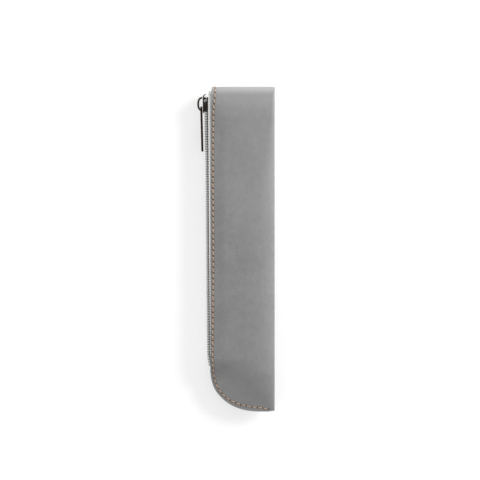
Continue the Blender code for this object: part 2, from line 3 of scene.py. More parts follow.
import bmesh
import bpy
import numpy as np
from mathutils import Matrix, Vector


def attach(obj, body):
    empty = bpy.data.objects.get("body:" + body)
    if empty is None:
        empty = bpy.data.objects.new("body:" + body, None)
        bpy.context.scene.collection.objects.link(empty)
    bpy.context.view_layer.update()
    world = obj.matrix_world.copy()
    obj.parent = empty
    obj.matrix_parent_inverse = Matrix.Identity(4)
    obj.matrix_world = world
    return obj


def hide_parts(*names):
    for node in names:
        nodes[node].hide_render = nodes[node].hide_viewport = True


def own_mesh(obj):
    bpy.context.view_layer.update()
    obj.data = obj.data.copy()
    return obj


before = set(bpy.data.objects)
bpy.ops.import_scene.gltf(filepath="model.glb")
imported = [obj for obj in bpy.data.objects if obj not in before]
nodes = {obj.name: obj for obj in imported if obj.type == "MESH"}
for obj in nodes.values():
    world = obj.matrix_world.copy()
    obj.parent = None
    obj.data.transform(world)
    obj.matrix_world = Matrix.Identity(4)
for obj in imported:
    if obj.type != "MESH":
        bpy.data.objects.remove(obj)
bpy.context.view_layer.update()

# ---- the case's own measurements in metres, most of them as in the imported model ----

case = {
    "left": -0.0198, "right": 0.0198, "bottom": -0.1, "top": 0.1,
    "middle": 0.00725,        # height of the plane halfway through the case
    "bodyHalf": 0.00725,      # from there to the outer face in the middle of a panel
    "edgeHalf": 0.00605,      # the same at the zipped edge and at the top fold
    "seamHalf": 0.00155,      # the same where front and back are sewn together
    "wall": 0.0014,           # thickness of the leather
    "gap": 0.0003,            # room between pieces that touch on the real case
    "cornerWidth": 0.0313, "cornerHeight": 0.028, "cornerPower": 2.3,
    "cornerNip": 0.0005,      # how far the bottom end of the folded side is cut off
    "bottomTaper": 0.028, "mouthTaper": 0.014, "mouthEnd": -0.081,
    "edgeTaper": 0.010, "topTaper": 0.014,
    "sideWidth": 0.018, "sidePower": 2.4,      # the rounded side of the lower part
    "sideBlend": 0.085,       # length over which it turns into the square side at the top
    "topSideRadius": 0.0016, "topSideShare": 0.75,      # its corners, and their share of the steps
    "sideTopDrop": 0.0003, "sideTopTurn": 75, "bowStart": 0.10,     # its top edge
    "foldY": 0.0948, "foldInset": 0.0010,
    "foldOver": 0.00105,      # how far the top fold reaches out over the side's corner
    "flapLength": 0.014, "flapStep": 0.0017,
}
case["cornerX"] = case["left"] + case["cornerWidth"]
case["cornerY"] = case["bottom"] + case["cornerHeight"]

leather = {
    "cornerColumns": 40, "panelColumns": 3, "sideSteps": 14, "foldSteps": 20, "flapRows": 8,
    "bottomRows": 34, "mouthRows": 18, "middleRows": 40, "upperRows": 64, "liftRows": 6,
    "rowPower": 1.15,         # the lowest rows lie a little closer together
    "sideRoom": 0.001,        # the corner's columns stay this far from the folded side
    "edgeRound": 0.00030, "edgeAngle": 55,     # rounding of the cut edges
    "colour": (0.223, 0.223, 0.222), "deep": (0.187, 0.187, 0.187),
    "cut": (0.26, 0.257, 0.252), "suede": (0.20, 0.195, 0.19),
    # colour of the needle holes: painted shade inside them
    "hole": (0.060, 0.042, 0.032),
}

chain = {
    "sliderY": 0.0898, "sliderTop": 0.0956, "zipTop": 0.0945, "zipEnd": -0.072,
    "slope": -0.0082883, "proudEnd": 0.00015,           # the zip lies deeper towards the bottom
    "bend": 0.010, "dip": 0.0011,                       # and its end turns in to the seam
    "spreadSlope": 0.27, "spreadStart": -0.00058,       # above the slider its two rows part
    "pitch": 0.00154, "wire": 0.00060, "spine": 0.0025, "overlap": 0.00045,
}

slopeStep = 0.0002            # step over which the slope of a panel is measured
weldReach = 1e-7
millimetres = 1000            # to a metre


def smooth(t):
    t = np.clip(t, 0.0, 1.0)      # eased from 0 to 1
    return t * t * (3.0 - 2.0 * t)


def unit(vectors):
    return vectors / np.linalg.norm(vectors, axis=-1, keepdims=True)


def surface(x, y, z):
    # points from coordinates of which some may be given for a row or a column only
    return np.stack(np.broadcast_arrays(x, y, z), axis=-1)


def scaled(colour, factor):
    return tuple(factor * value for value in colour)


def halfThickness(x, y):
    # from the middle plane to a panel's outer face: full inside, less at the zipped edge and the
    # top, and closing to the seam towards the rounded bottom corner
    swell = smooth((x - case["left"]) / case["edgeTaper"])
    swell = swell * smooth((case["foldY"] - y) / case["topTaper"])
    full = case["edgeHalf"] + (case["bodyHalf"] - case["edgeHalf"]) * swell
    across = np.clip((case["cornerX"] - x) / case["cornerWidth"], 0.0, None)
    down = np.clip((case["cornerY"] - y) / case["cornerHeight"], 0.0, None)
    power = case["cornerPower"]
    inside = 1.0 - (across**power + down**power) ** (1.0 / power)
    parted = smooth(inside * case["cornerHeight"] / case["bottomTaper"])
    mouth = smooth((y - case["mouthEnd"]) / case["mouthTaper"])
    opened = 1.0 - (1.0 - parted) * (1.0 - mouth)
    return case["seamHalf"] + (full - case["seamHalf"]) * opened


def panelSlopes(x, y):
    step = slopeStep
    slopeX = (halfThickness(x + step, y) - halfThickness(x - step, y)) / (2 * step)
    slopeY = (halfThickness(x, y + step) - halfThickness(x, y - step)) / (2 * step)
    return slopeX, slopeY


def belowPanel(x, y, depth):
    slopeX, slopeY = panelSlopes(x, y)
    return halfThickness(x, y) - depth * np.sqrt(1.0 + slopeX**2 + slopeY**2)


def sideProfile(y):
    # for each y: steps out from the panel and heights, half a full ellipse that turns into a box
    # with rounded corners towards the top fold
    steps = leather["sideSteps"]
    step = np.arange(steps + 1)
    half = halfThickness(case["right"], y)[:, None]
    width = case["sideWidth"] * half / case["bodyHalf"]
    flat = smooth((y - case["foldY"] + case["sideBlend"]) / case["sideBlend"])[:, None]
    turn = math.pi / 2 * step / steps
    radius, corner = case["topSideRadius"], case["topSideShare"]
    cornerTurn = math.pi / 2 * np.minimum(1.0, step / (steps * corner))
    down = np.clip((step / steps - corner) / (1 - corner), 0.0, 1.0)
    squareUp = (half - radius * (1.0 - np.cos(cornerTurn))) * (1.0 - down)
    full = 2.0 / case["sidePower"]
    out = (1 - flat) * width * np.sin(turn) ** full + flat * radius * np.sin(cornerTurn)
    up = (1 - flat) * half * np.abs(np.cos(turn)) ** full + flat * squareUp
    return np.hstack((out, out[:, -2::-1])), np.hstack((up, -up[:, -2::-1]))


def gridFaces(strands, rings, sides, wrap=False):
    # quads of separate grids of rings by sides, and the ring and side that each corner is on
    s, r, c = np.meshgrid(
        np.arange(strands), np.arange(rings - 1), np.arange(sides if wrap else sides - 1),
        indexing="ij",
    )
    steps = ((0, 0), (1, 0), (1, 1), (0, 1))
    faces = [(s * rings + r + i) * sides + (c + j) % sides for i, j in steps]
    places = [np.stack((r + i, c + j), -1) for i, j in steps]
    return np.stack(faces, -1).reshape(-1, 4), np.stack(places, -2).reshape(-1, 2)


def newPiece(name, points, faces, uv=None, closed=False):
    # a closed piece gets its faces turned outwards, and any other has its grids welded together
    mesh = bpy.data.meshes.new(name)
    mesh.from_pydata(np.asarray(points).reshape(-1, 3).tolist(), [], faces)
    if uv is not None:
        layer = mesh.uv_layers.new(name="weave")
        flat = np.zeros((len(mesh.loops), 2), np.float32)
        flat[: len(uv)] = uv
        layer.data.foreach_set("uv", flat.ravel())
    shape = bmesh.new()
    shape.from_mesh(mesh)
    if closed:
        bmesh.ops.recalc_face_normals(shape, faces=shape.faces)
    else:
        bmesh.ops.remove_doubles(shape, verts=shape.verts, dist=weldReach)
    shape.to_mesh(mesh)
    shape.free()
    mesh.shade_smooth()
    obj = bpy.data.objects.new(name, mesh)
    bpy.context.scene.collection.objects.link(obj)
    return obj


def addModifier(obj, kind, **settings):
    modifier = obj.modifiers.new(kind.lower(), kind)
    for key, value in settings.items():
        setattr(modifier, key, value)


# ---- shader nodes written as sums ----

class Flow:
    def __init__(self, paint, socket):
        self.paint, self.socket = paint, socket

    def maths(self, operation, *values):
        return self.paint.node("ShaderNodeMath", {"operation": operation}, dict(enumerate(values)))

    def __add__(self, other):
        return self.maths("ADD", self, other)

    def __sub__(self, other):
        return self.maths("SUBTRACT", self, other)

    def __rsub__(self, other):
        return self.maths("SUBTRACT", other, self)

    def __mul__(self, other):
        return self.maths("MULTIPLY", self, other)

    __radd__ = __add__

    def apply(self, operation, other=0.0):
        return self.maths(operation, self, other)

    def wave(self, operation="SINE"):
        # one wave for each whole number that this goes through
        return (self * (2 * math.pi)).apply(operation)

    def between(self, low, high):
        # eased from 0 at low to 1 at high
        return self.paint.node(
            "ShaderNodeMapRange", {"interpolation_type": "SMOOTHSTEP"},
            {"Value": self, "From Min": low, "From Max": high},
        )

    def blend(self, first, second):
        # colour that goes from first to second as this goes from 0 to 1
        return self.paint.node(
            "ShaderNodeMix", {"data_type": "RGBA"}, {0: self, 6: first, 7: second}, out=2
        )


class Paint:
    def __init__(self, name, **shader):
        self.material = bpy.data.materials.new(name)
        self.material.use_nodes = True
        self.tree = self.material.node_tree
        self.shader = self.tree.nodes["Principled BSDF"]
        for key, value in shader.items():
            self.shader.inputs[key.replace("_", " ")].default_value = value

    def node(self, kind, settings=None, inputs=None, out=0):
        item = self.tree.nodes.new(kind)
        for key, value in (settings or {}).items():
            setattr(item, key, value)
        for key, value in (inputs or {}).items():
            self.feed(item.inputs[key], value)
        return Flow(self, item.outputs[out])

    def feed(self, socket, value):
        if isinstance(value, Flow):
            self.tree.links.new(value.socket, socket)
        elif isinstance(value, tuple) and len(value) == 3 and socket.type == "RGBA":
            socket.default_value = (*value, 1.0)
        else:
            socket.default_value = value

    def place(self):
        return self.node("ShaderNodeTexCoord", out="Object")

    def parts(self, where):
        # the first two numbers of a place
        first = self.node("ShaderNodeSeparateXYZ", None, {0: where})
        return first, Flow(self, first.socket.node.outputs[1])

    def uv(self, name):
        return self.parts(self.node("ShaderNodeUVMap", {"uv_map": name}))

    def noise(self, where, scale, detail=2.0, roughness=0.5):
        values = {"Vector": where, "Scale": scale, "Detail": detail, "Roughness": roughness}
        return self.node("ShaderNodeTexNoise", None, values)

    def stretched(self, where, scales):
        return self.node("ShaderNodeMapping", None, {"Vector": where, "Scale": scales})

    def bump(self, height, distance, strength):
        # height runs from 0 to 1 over the given real distance
        raised = self.node(
            "ShaderNodeBump", None, {"Height": height, "Distance": distance, "Strength": strength}
        )
        self.feed(self.shader.inputs["Normal"], raised)

    def colour(self, value):
        self.feed(self.shader.inputs["Base Color"], value)

    def roughness(self, value):
        self.feed(self.shader.inputs["Roughness"], value)


print("stage: measurements and shader helpers ready")

# ---- seam lines: where the needle holes are ----

stitches = {
    "pitch": 0.00345, "length": 0.00275, "width": 0.00080, "height": 0.00056,
    "slant": 0.00017,         # each stitch leans this far to either side of the line
    "bury": 0.00034,          # how deep its ends go into the holes
    "rise": 0.00016,          # how high its middle lies over the line
    "rings": 10, "sides": 8, "turns": 5.0,
    "ringPower": 0.8, "divePower": 5, "endPower": 7, "endShare": 0.12,
    "samples": 24,            # steps of a seam's line from hole to hole
    "lineSamples": 900, "splineSteps": 40,
    # the front line starts behind the top fold, so many degrees round it, and follows its inset
    "foldTurn": (128, 0.5), "foldSamples": 130, "foldInset": 0.3,
    "flapDown": 0.0018, "flapEnd": 0.0042, "flapSamples": 400,
    "light": (0.56, 0.41, 0.30), "dark": (0.22, 0.135, 0.085),
    # the line down the left edge and round the corner, in millimetres
    "line": (
        (-17.08, 94.8), (-17.25, 92.0), (-17.66, 88.2), (-17.95, 80.0), (-18.15, 65.0),
        (-18.2, 48.7), (-18.1, 20.0), (-18.05, -12.9), (-18.25, -40.0), (-18.42, -62.0),
        (-18.25, -71.0), (-17.22, -79.7), (-15.4, -85.0), (-12.1, -89.6), (-9.0, -92.1),
        (-4.5, -94.6), (-1.7, -95.7), (1.9, -96.4), (6.0, -97.15), (11.6, -97.7),
        (15.9, -98.35),
    ),
}


def resample(points, count, *carried):
    # the points, and what is carried along with them, at even steps along their line
    travel = np.concatenate(([0.0], np.cumsum(np.linalg.norm(np.diff(points, axis=0), axis=1))))
    at = np.linspace(0.0, travel[-1], count)
    columns = np.hstack((points, *carried)).T
    return np.stack([np.interp(at, travel, column) for column in columns], axis=1)


def evenSpline(points, count):
    # smooth line through the points (Catmull-Rom), sampled evenly along its length
    p = np.vstack((2 * points[0] - points[1], points, 2 * points[-1] - points[-2]))
    t = np.linspace(0, len(points) - 1, stitches["splineSteps"] * len(points))[:, None]
    k = np.minimum(t.astype(int), len(points) - 2)[:, 0]
    t = t - k[:, None]
    a, b, c, d = p[k], p[k + 1], p[k + 2], p[k + 3]
    line = 0.5 * (2 * b + (c - a) * t + (2 * a - 5 * b + 4 * c - d) * t**2
                  + (3 * b - a - 3 * c + d) * t**3)
    return resample(line, count)


def evenSeam(points, normals):
    # a seam's points and unit normals in even steps, and its number of stitches
    length = np.linalg.norm(np.diff(points, axis=0), axis=1).sum()
    count = round(length / stitches["pitch"])
    both = resample(points, count * stitches["samples"] + 1, unit(normals))
    return both[:, :3], both[:, 3:], count


def edgeSeam(side):
    # from the top fold, at the front from behind it, down the edge and round to the seam's end
    x, y = evenSpline(np.array(stitches["line"]) * 0.001, stitches["lineSamples"]).T
    slopeX, slopeY = panelSlopes(x, y)
    points = surface(x, y, side * halfThickness(x, y))
    normals = surface(-slopeX, -slopeY, side)
    if side > 0:
        turn = np.radians(np.linspace(*stitches["foldTurn"], stitches["foldSamples"]))
        inset = case["foldInset"] * np.sin(turn)
        centre = case["flapStep"] / 2
        reachY = case["top"] - case["foldY"]
        reachZ = halfThickness(x[0], case["foldY"]) - centre
        over = surface(x[0] + inset * stitches["foldInset"],
                       case["foldY"] + reachY * np.sin(turn), centre + reachZ * np.cos(turn))
        lean = surface(0.0, np.sin(turn) / reachY, np.cos(turn) / reachZ)
        points, normals = np.vstack((over, points)), np.vstack((lean, normals))
    return evenSeam(points, normals)


def flapSeam():
    # across the back below the top fold
    y = case["foldY"] - stitches["flapDown"]
    start, stop = case["left"] + stitches["flapEnd"], case["right"] - stitches["flapEnd"]
    x = np.linspace(start, stop, stitches["flapSamples"])
    slopeX, slopeY = panelSlopes(x, y)
    return evenSeam(surface(x, y, -halfThickness(x, y)), surface(-slopeX, -slopeY, -1.0))


seams = {"front": edgeSeam(1), "back": edgeSeam(-1), "flap": flapSeam()}

# ---- the leather ----


def rowHeights(bottom):
    # y of each row of a column: from its bottom to the corner, the mouth and the top fold
    bottom = np.atleast_1d(bottom)[:, None]
    share = np.linspace(0, 1, leather["bottomRows"] + 1)[None, :] ** leather["rowPower"]
    opened = case["mouthEnd"] + case["mouthTaper"]
    blendStart = case["foldY"] - case["sideBlend"]
    upper = np.concatenate((
        np.linspace(case["cornerY"], opened, leather["mouthRows"] + 1)[1:],
        np.linspace(opened, blendStart, leather["middleRows"] + 1)[1:],
        np.linspace(blendStart, case["foldY"], leather["upperRows"] + 1)[1:],
    ))
    low = bottom + (case["cornerY"] - bottom) * share
    return np.hstack((low, np.repeat(upper[None, :], len(bottom), axis=0)))


def panelColumns(yEnd, panelEnd):
    # the front panel: columns round the rounded corner, and a few more up to the folded side
    angle = math.pi / 2 * np.linspace(0, 1, leather["cornerColumns"] + 1)
    power = 2.0 / case["cornerPower"]
    x = case["cornerX"] - case["cornerWidth"] * np.abs(np.cos(angle)) ** power
    y = rowHeights(case["cornerY"] - case["cornerHeight"] * np.sin(angle) ** power)
    sideStart = case["right"] - sideProfile(y.ravel())[0].max(axis=1).reshape(y.shape)
    room = (sideStart - leather["sideRoom"] - case["left"]) / case["cornerWidth"]
    x = case["left"] + (x[:, None] - case["left"]) * np.minimum(1.0, room)
    share = np.arange(1, leather["panelColumns"] + 1)[:, None] / (leather["panelColumns"] + 1)
    more = x[-1] + (panelEnd - x[-1]) * share
    return np.concatenate((surface(x, y, halfThickness(x, y)),
                           surface(more, yEnd, halfThickness(more, yEnd))))


def foldAndFlap(edge):
    # from the top of the front panel over the fold and down behind the back panel
    share = (edge[:, 0] - case["left"]) / (edge[-1, 0] - case["left"])
    over = edge[:, 0] + case["foldOver"] * share
    centre = case["flapStep"] / 2
    turn = math.pi * np.arange(1, leather["foldSteps"] + 1)[:, None] / leather["foldSteps"]
    fold = surface(over + case["foldInset"] * np.sin(turn) * (1 - share),
                   case["foldY"] + (case["top"] - case["foldY"]) * np.sin(turn),
                   centre + (edge[:, 2] - centre) * np.cos(turn))
    down = np.arange(1, leather["flapRows"] + 1)[:, None] / leather["flapRows"]
    y = case["foldY"] - case["flapLength"] * down
    flap = surface(over, y, case["flapStep"] - halfThickness(over, y))
    return np.concatenate((fold, flap))


def sideTop(edge):
    # the side goes on up beside the fold: at the front its top follows the round of the fold,
    # and behind the middle it runs down towards the back
    past = np.clip(np.arange(len(edge)) / leather["sideSteps"] - 1, 0, None)
    rise = case["top"] - case["foldY"] - case["sideTopDrop"]
    rise = rise * np.cos(math.radians(case["sideTopTurn"]) * past)
    centre = case["flapStep"] / 2
    bow = np.clip((edge[:, 2] - centre) / (edge[0, 2] - centre), 0, 1)
    rise = rise * (case["bowStart"] + (1 - case["bowStart"]) * np.sqrt(1 - bow**2))
    steps = np.linspace(0, 1, leather["liftRows"] + 1)[1:]
    return edge + surface(0.0, rise * steps[:, None], 0.0)


def leatherShell():
    yEnd = rowHeights(case["bottom"])[0]
    out, up = sideProfile(yEnd)
    panelEnd = case["right"] - out.max(axis=1)
    front = panelColumns(yEnd, panelEnd)
    sideX = panelEnd + out.T
    sideY = rowHeights(case["bottom"] + case["cornerNip"] * out[0] / out[0].max())
    fit = halfThickness(sideX, yEnd) / halfThickness(case["right"], yEnd)
    side = surface(sideX, sideY, up.T * fit)
    columns = np.concatenate((front, side, front[::-1] * (1, 1, -1)))
    blocks = [columns]
    for edge, rowsUp in (
        (np.concatenate((front[:, -1], side[:1, -1])), foldAndFlap), (side[:, -1], sideTop),
    ):
        blocks.append(np.concatenate((edge[None], rowsUp(edge))).transpose(1, 0, 2))
    points, faces, used = [], [], 0
    for block in blocks:
        points.append(block.reshape(-1, 3))
        faces.append(gridFaces(1, *block.shape[:2])[0] + used)
        used += len(points[-1])
    return np.concatenate(points) + (0, 0, case["middle"]), np.concatenate(faces)


def addMap(mesh, name, first, second):
    # a map of two values given for each vertex
    loops = np.zeros(len(mesh.loops), np.int32)
    mesh.loops.foreach_get("vertex_index", loops)
    values = np.stack((first, second), axis=1)[loops].astype(np.float32)
    mesh.uv_layers.new(name=name).data.foreach_set("uv", values.ravel())


def rimPoints(mesh, place):
    # the points on the open border of a mesh, which has one face on each of its edges
    ends = np.zeros(len(mesh.edges) * 2, np.int32)
    mesh.edges.foreach_get("vertices", ends)
    users = np.zeros(len(mesh.loops), np.int32)
    mesh.loops.foreach_get("edge_index", users)
    single = np.bincount(users, minlength=len(mesh.edges)) == 1
    return place[np.unique(ends.reshape(-1, 2)[single])]


def addSeamMaps(obj, block=2000, stride=4):
    # two maps: along a seam in stitches with the distance from it, and the distance from the rim,
    # both in millimetres and worked out for a block of points at a time
    mesh = obj.data
    place = np.zeros(len(mesh.vertices) * 3)
    mesh.vertices.foreach_get("co", place)
    place = place.reshape(-1, 3)
    rim = rimPoints(mesh, place)
    best = np.full(len(place), 1.0)
    count = np.zeros(len(place))
    reach = np.zeros(len(place))
    for start in range(0, len(place), block):
        here = slice(start, start + block)
        part = place[here]
        reach[here] = np.linalg.norm(part[:, None] - rim[None], axis=2).min(axis=1)
        for points, _, _ in seams.values():
            line = points + (0, 0, case["middle"])
            gaps = np.linalg.norm(part[:, None] - line[None, ::stride], axis=2)
            k = np.clip(gaps.argmin(axis=1) * stride, 1, len(line) - 2)
            along = line[k + 1] - line[k - 1]
            length = np.linalg.norm(along, axis=1)
            shift = ((part - line[k]) * along).sum(axis=1) / length
            offset = np.linalg.norm(part - line[k] - along * (shift / length)[:, None], axis=1)
            closer = offset < best[here]
            best[here][closer] = offset[closer]
            stitch = (k + shift / (length / 2)) / stitches["samples"]
            count[here][closer] = stitch[closer]
    addMap(mesh, "seam", count, best * millimetres)
    addMap(mesh, "edge", reach * millimetres, 0 * reach)


hide = {
    # how fine each pattern is, in repeats to a metre
    "cloud": 45.0, "patches": 260.0, "flecks": 1050.0, "pores": 2500.0, "grain": 5200.0,
    "marks": (520, 330, 520), "fibres": (900, 900, 2600), "nap": 2400.0, "suedeCloud": 120.0,
    # strength of each change of tone, and how light or dark it makes the leather
    "lightMarks": 0.30, "lightTone": 1.24, "darkMarks": 0.34, "darkTone": 0.72, "fleckTone": 0.16,
    # painted light at the top right, painted shade at the bottom right, and a painted highlight
    # where the leather bends over the top fold
    "paintedLightTopRight": (0.30, 1.28), "paintedShadeBottomRight": (0.26, 0.78), "bend": (0.5, 1.45),
    # worn cut edges, painted shade in the groove along the seams and painted shade inside the
    # needle holes
    "worn": (0.22, 1.35), "pulled": (0.20, 0.6),
    "holeShadeTone": 0.96, "cutTone": 0.72, "suedeTone": 0.7,
    # where the painted light and painted shade change, in metres across and up the case
    "paintedLightAndShadeAcross": (-0.022, 0.012), "paintedLightUp": (-0.010, 0.060), "paintedShadeDown": (-0.048, -0.068),
    "paintedFoldHighlightUp": (0.085, 0.0965),
    # in millimetres: from a needle hole, from a seam and from a cut edge
    "holeReach": (0.42, 0.72), "pulledReach": (0.0, 1.3), "wornReach": (0.15, 0.9),
    "relief": 0.00006, "cutRelief": 0.0001, "suedeRelief": 0.00015,
}


def toned(shade, amount, effect, colour):
    strength, tone = hide[effect]
    return (amount * strength).blend(shade, scaled(colour, tone))


def grainedLeather(name):
    paint = Paint(name, Specular_IOR_Level=0.32, Sheen_Weight=0.12, Sheen_Roughness=0.4)
    colour, deep = leather["colour"], leather["deep"]
    where = paint.place()
    rightward, upward = paint.parts(where)
    cloud = paint.noise(where, hide["cloud"], 4.0, 0.55)
    patchy = paint.noise(where, hide["patches"], 3.0, 0.6)
    pores = paint.node("ShaderNodeTexVoronoi", {"feature": "DISTANCE_TO_EDGE"},
                       {"Vector": where, "Scale": hide["pores"], "Randomness": 1.0})
    cells = pores.between(0.02, 0.28)
    fine = paint.noise(where, hide["grain"])
    tone = (cloud * 0.6 + patchy * 0.4).between(0.32, 0.68)
    shade = tone.blend(deep, colour)
    # small handling marks, some lighter and some darker, over a faint speckle
    marks = paint.noise(paint.stretched(where, hide["marks"]), 1.0, 1.0)
    flecks = paint.noise(where, hide["flecks"], 3.0, 0.62)
    light = (marks.between(0.66, 0.74) * hide["lightMarks"]
             + flecks.between(0.50, 0.70) * hide["fleckTone"])
    dark = (marks.between(0.34, 0.26) * hide["darkMarks"]
            + flecks.between(0.50, 0.30) * hide["fleckTone"])
    shade = light.blend(shade, scaled(colour, hide["lightTone"]))
    shade = dark.blend(shade, scaled(colour, hide["darkTone"]))
    # painted light and shade: the hide is painted lighter towards the top right, as lit from
    # there, and darker at the bottom right as painted shade, with a painted highlight where it
    # bends over the top
    paintedLightAndShadeAcross = rightward.between(*hide["paintedLightAndShadeAcross"])
    shade = toned(shade, upward.between(*hide["paintedLightUp"]) * paintedLightAndShadeAcross, "paintedLightTopRight", colour)
    shade = toned(shade, upward.between(*hide["paintedShadeDown"]) * paintedLightAndShadeAcross, "paintedShadeBottomRight", colour)
    # painted highlight along the top fold, where the leather bends over
    shade = toned(shade, upward.between(*hide["paintedFoldHighlightUp"]), "bend", colour)
    # worn at the cut edges, with painted shade in the groove where the seams pull the leather in,
    # and a needle hole between two stitches painted dark as the shade inside it
    count, away = paint.uv("seam")
    reach, _ = paint.uv("edge")
    along = (count + 0.5).apply("FRACT") - 0.5
    lengthwise = along * (stitches["pitch"] * millimetres)
    spot = (lengthwise * lengthwise + away * away).apply("SQRT")
    hole = 1 - spot.between(*hide["holeReach"])
    pulled = 1 - away.between(*hide["pulledReach"])
    worn = (1 - reach.between(*hide["wornReach"])) * (0.5 + patchy * 0.6)
    shade = toned(shade, worn, "worn", colour)
    # painted shade in the groove along each seam
    shade = toned(shade, pulled, "pulled", deep)
    # needle holes painted dark as the shade inside them
    paint.colour((hole * hide["holeShadeTone"]).blend(shade, leather["hole"]))
    paint.roughness(0.52 + patchy * 0.10 + (1 - cells) * 0.05)
    height = cells * 0.30 + fine * 0.25 + patchy * 0.6 + flecks * 0.15
    paint.bump(height - pulled * 2.2 - hole * 5.0, hide["relief"], 0.55)
    return paint.material


def cutLeather(name):
    paint = Paint(name, Specular_IOR_Level=0.25)
    fibres = paint.noise(paint.stretched(paint.place(), hide["fibres"]), 1.0, 3.0, 0.65)
    dark = scaled(leather["cut"], hide["cutTone"])
    paint.colour(fibres.between(0.3, 0.7).blend(dark, leather["cut"]))
    paint.roughness(0.62 + fibres * 0.2)
    paint.bump(fibres, hide["cutRelief"], 0.7)
    return paint.material


def suedeInside(name):
    paint = Paint(name, Specular_IOR_Level=0.1, Sheen_Weight=0.35, Sheen_Roughness=0.6)
    where = paint.place()
    nap = paint.noise(where, hide["nap"], 4.0, 0.7)
    cloud = paint.noise(where, hide["suedeCloud"], 3.0)
    tone = (nap * 0.5 + cloud * 0.5).between(0.3, 0.7)
    paint.colour(tone.blend(scaled(leather["suede"], hide["suedeTone"]), leather["suede"]))
    paint.roughness(0.85 + nap * 0.1)
    paint.bump(nap, hide["suedeRelief"], 0.6)
    return paint.material


points, faces = leatherShell()
leatherCase = newPiece("leatherCase", points, faces.tolist())
addSeamMaps(leatherCase)
for finish in (
    grainedLeather("grainedLeather"), suedeInside("suedeInside"), cutLeather("cutLeather"),
):
    leatherCase.data.materials.append(finish)
addModifier(leatherCase, "SOLIDIFY", thickness=case["wall"], offset=-1.0, use_even_offset=True,
            use_quality_normals=True, material_offset=1, material_offset_rim=2)
addModifier(leatherCase, "BEVEL", width=leather["edgeRound"], segments=3, limit_method="ANGLE",
            angle_limit=math.radians(leather["edgeAngle"]), harden_normals=False)
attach(leatherCase, "case")
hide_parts("leather_shell")
print("stage: leather done,", len(leatherCase.data.polygons), "faces before its wall")

# ---- stitching ----

thread = {
    "plies": 3.0, "ply": (0.0, 0.75), "fuzz": 3000.0, "cloud": 350.0, "relief": 0.00008,
}


def strandPiece(name, centres, across, up, wide, tall, sides, repeat):
    # threads: an ellipse in the across and up directions is carried along each line of centres,
    # with a cap at both ends
    strands, rings = centres.shape[:2]
    turn = 2 * math.pi * np.arange(sides) / sides
    ring = (np.cos(turn)[:, None] * (across * wide[..., None])[:, :, None, :]
            + np.sin(turn)[:, None] * (up * tall[..., None])[:, :, None, :])
    points = centres[:, :, None, :] + ring
    faces, places = gridFaces(strands, rings, sides, wrap=True)
    uv = places / (rings - 1, sides) * (repeat, 1.0)
    first = (np.arange(strands) * rings * sides)[:, None] + np.arange(sides)
    last = first + (rings - 1) * sides
    caps = first[:, ::-1].tolist() + last.tolist()
    return newPiece(name, points, faces.tolist() + caps, uv=uv, closed=True)


def drawnIn(t, power, least):
    # share of a stitch's thickness along it, less near its two ends
    return np.clip(1 - np.abs(t) ** power, least, None) ** 0.5


def sewnSeam(name, seam):
    # each stitch is an arc that comes out of one needle hole and dives into the next
    s = stitches
    points, normals, count = seam
    holes, lean = points[::s["samples"]], normals[::s["samples"]]
    halfway = slice(s["samples"] // 2, None, s["samples"])
    start, stop = holes[:-1], holes[1:]
    up = unit(lean[:-1] + lean[1:] + 2 * normals[halfway][:count])
    along = unit(stop - start)
    across = unit(np.cross(up, along))
    t = np.linspace(-1, 1, s["rings"])
    t = np.sign(t) * np.abs(t) ** s["ringPower"]
    chord = (start + stop) / 2
    bulge = ((points[halfway][:count] - chord) * up).sum(axis=1)[:, None]
    dive = (s["bury"] + s["rise"]) * np.abs(t) ** s["divePower"]
    lift = s["rise"] + bulge * (1 - t**2) - dive
    centres = (chord[:, None] + along[:, None] * (t * s["length"] / 2)[None, :, None]
               + up[:, None] * lift[..., None]
               + across[:, None] * (s["slant"] * t)[None, :, None])
    step = unit(np.gradient(centres, axis=1))
    side = unit(np.cross(np.broadcast_to(up[:, None], step.shape), step))
    slim = drawnIn(t, s["endPower"], s["endShare"])
    wide = np.broadcast_to(s["width"] / 2 * slim, centres.shape[:2])
    tall = np.broadcast_to(s["height"] / 2 * slim, centres.shape[:2])
    centres = centres + (0, 0, case["middle"])
    return strandPiece(name, centres, side, np.cross(step, side), wide, tall, s["sides"], 1.0)


def twistedThread(name, light, dark, turns):
    # strands that wind round the thread: stripes across its own map
    paint = Paint(name, Specular_IOR_Level=0.35, Sheen_Weight=0.25, Sheen_Roughness=0.5)
    along, around = paint.uv("weave")
    wave = (along * turns + around * thread["plies"]).wave() * 0.5 + 0.5
    ply = wave.between(*thread["ply"])
    fuzz = paint.noise(paint.place(), thread["fuzz"], 3.0, 0.6)
    tone = paint.noise(paint.place(), thread["cloud"])
    mix = ply * (0.62 + fuzz * 0.5) * (0.70 + tone * 0.55)
    paint.colour(mix.between(0.05, 1.05).blend(dark, light))
    paint.roughness(0.6 + fuzz * 0.15)
    paint.bump(ply + fuzz * 0.3, thread["relief"], 0.8)
    return paint.material


tanThread = twistedThread("tanThread", stitches["light"], stitches["dark"], stitches["turns"])
for name, seam, node in (
    ("frontStitches", "front", "stitch_thread_front"),
    ("backStitches", "back", "stitch_thread_back"),
    ("flapStitches", "flap", "flap_stitch_thread"),
):
    piece = sewnSeam(name, seams[seam])
    piece.data.materials.append(tanThread)
    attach(piece, "case")
    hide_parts(node)
print("stage: stitching done")

# ---- zip tapes ----

